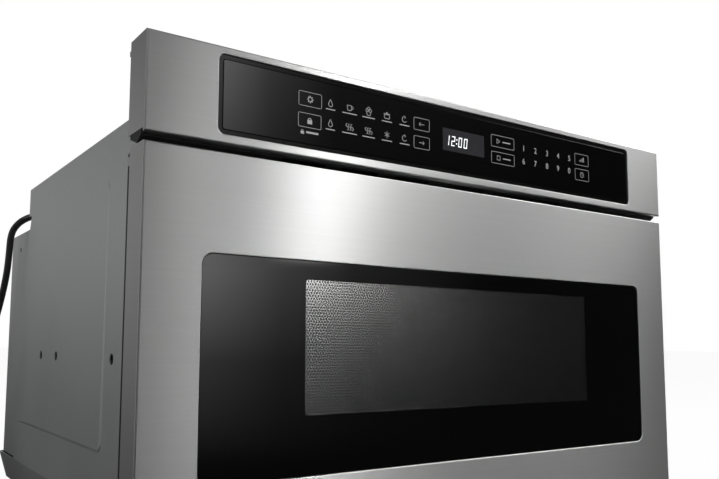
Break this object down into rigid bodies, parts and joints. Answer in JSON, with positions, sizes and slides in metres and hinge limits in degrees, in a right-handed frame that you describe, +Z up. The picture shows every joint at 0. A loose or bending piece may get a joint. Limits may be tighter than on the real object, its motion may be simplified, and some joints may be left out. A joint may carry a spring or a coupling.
{
  "type": "microwave drawer",
  "caption": "Built-in microwave drawer: stainless drawer front with a dark window below a touch control panel, motor-driven drawer on telescopic slides, grey steel case, mains cord.",
  "frame": {"origin": "middle of the width and of the depth, on the underside of the base pan", "axes": "+X to the right seen from the front, +Y rearwards, +Z up; the fronts face -Y"},
  "size_m": [0.7398, 0.624, 0.3969],
  "materials": {
    "stainless": "horizontal fine brushed stainless steel",
    "case_steel": "galvanised sheet, satin grey",
    "frame_steel": "zinc plated sheet",
    "black_glass": "black printed tempered glass, gloss",
    "clear_glass": "clear tempered glass",
    "black_plastic": "moulded black plastic, satin",
    "white_plastic": "natural moulded plastic",
    "screen_steel": "perforated steel, dark coating",
    "dark_enamel": "black enamelled sheet",
    "cavity_paint": "light grey acrylic enamel",
    "ceramic": "glass ceramic plate",
    "slide_steel": "zinc plated rolled steel",
    "gear_plastic": "moulded acetal",
    "motor_steel": "plated steel",
    "copper": "enamelled copper winding over laminations",
    "aluminium": "plain aluminium",
    "circuit_board": "green circuit board",
    "display": "dark display window",
    "lamp_glass": "clear lamp glass",
    "screw_steel": "bright zinc plated",
    "cord_rubber": "black PVC jacket",
    "tie_plastic": "black nylon strap"
  },
  "bodies": {
    "oven": {"base_pan": "case_steel", "side_wall_left": "case_steel", "side_wall_right": "case_steel", "top_cover": "case_steel", "upper_rear_panel": "case_steel", "rear_cover": "case_steel", "front_frame": "frame_steel", "oven_cavity": "cavity_paint", "waveguide": "frame_steel", "magnetron": "aluminium", "power_transformer": "copper", "hv_capacitor": "aluminium", "hv_diode": "black_plastic", "noise_filter": "circuit_board", "fan_shroud": "black_plastic", "fan_motor": "motor_steel", "antenna_motor": "motor_steel", "lamp_socket": "white_plastic", "oven_lamp": "lamp_glass", "exhaust_duct": "frame_steel", "control_panel_frame": "stainless", "panel_bezel": "black_plastic", "touch_glass": "black_glass", "display_module": "display", "control_board": "circuit_board", "vent_grille": "black_plastic", "drive_bracket": "frame_steel", "drive_motor": "motor_steel", "rack_guides": "white_plastic", "rail_outer_left": "slide_steel", "rail_outer_right": "slide_steel", "interlock_switches": "black_plastic", "case_screws": "screw_steel", "cord_bushing": "cord_rubber", "power_cord": "cord_rubber", "power_cord_coil": "cord_rubber", "cord_tie": "tie_plastic", "power_plug": "cord_rubber"},
    "drawer": {"drawer_front_skin": "stainless", "window_glass": "black_glass", "choke_frame": "dark_enamel", "choke_cover": "black_plastic", "door_screen": "screen_steel", "inner_window": "clear_glass", "drawer_box": "cavity_paint", "drawer_floor": "ceramic", "drawer_screws": "screw_steel", "rail_inner_left": "slide_steel", "rail_inner_right": "slide_steel", "rack_gear": "gear_plastic", "latch_hooks": "white_plastic"},
    "slide_left": {"rail_middle_left": "slide_steel"},
    "slide_right": {"rail_middle_right": "slide_steel"},
    "pinion": {"drive_pinion": "gear_plastic"},
    "fan": {"fan_blade": "white_plastic"},
    "stirrer": {"antenna": "aluminium"}
  },
  "joints": [
    {"name": "drawer_slide", "type": "slide", "parent": "oven", "child": "drawer", "axis": [0, -1, 0], "range_m": [0, 0.381]},
    {"name": "slide_left_travel", "type": "slide", "parent": "oven", "child": "slide_left", "axis": [0, -1, 0], "range_m": [0, 0.1905]},
    {"name": "slide_right_travel", "type": "slide", "parent": "oven", "child": "slide_right", "axis": [0, -1, 0], "range_m": [0, 0.1905]},
    {"name": "pinion_turn", "type": "hinge", "parent": "oven", "child": "pinion", "pos_m": [0.098, -0.21725, 0.027], "axis": [1, 0, 0], "range_deg": [0, 1365]},
    {"name": "fan_spin", "type": "hinge", "parent": "oven", "child": "fan", "pos_m": [-0.15, 0.26475, 0.19], "axis": [0, 1, 0], "continuous": true},
    {"name": "stirrer_spin", "type": "hinge", "parent": "oven", "child": "stirrer", "pos_m": [0, -0.04325, 0.06], "axis": [0, 0, 1], "continuous": true}
  ],
  "couplings": [
    {"joint": "slide_left_travel", "follows": "drawer_slide", "ratio": 0.5},
    {"joint": "slide_right_travel", "follows": "drawer_slide", "ratio": 0.5},
    {"joint": "pinion_turn", "follows": "drawer_slide", "rad_per_m": 62.5}
  ]
}
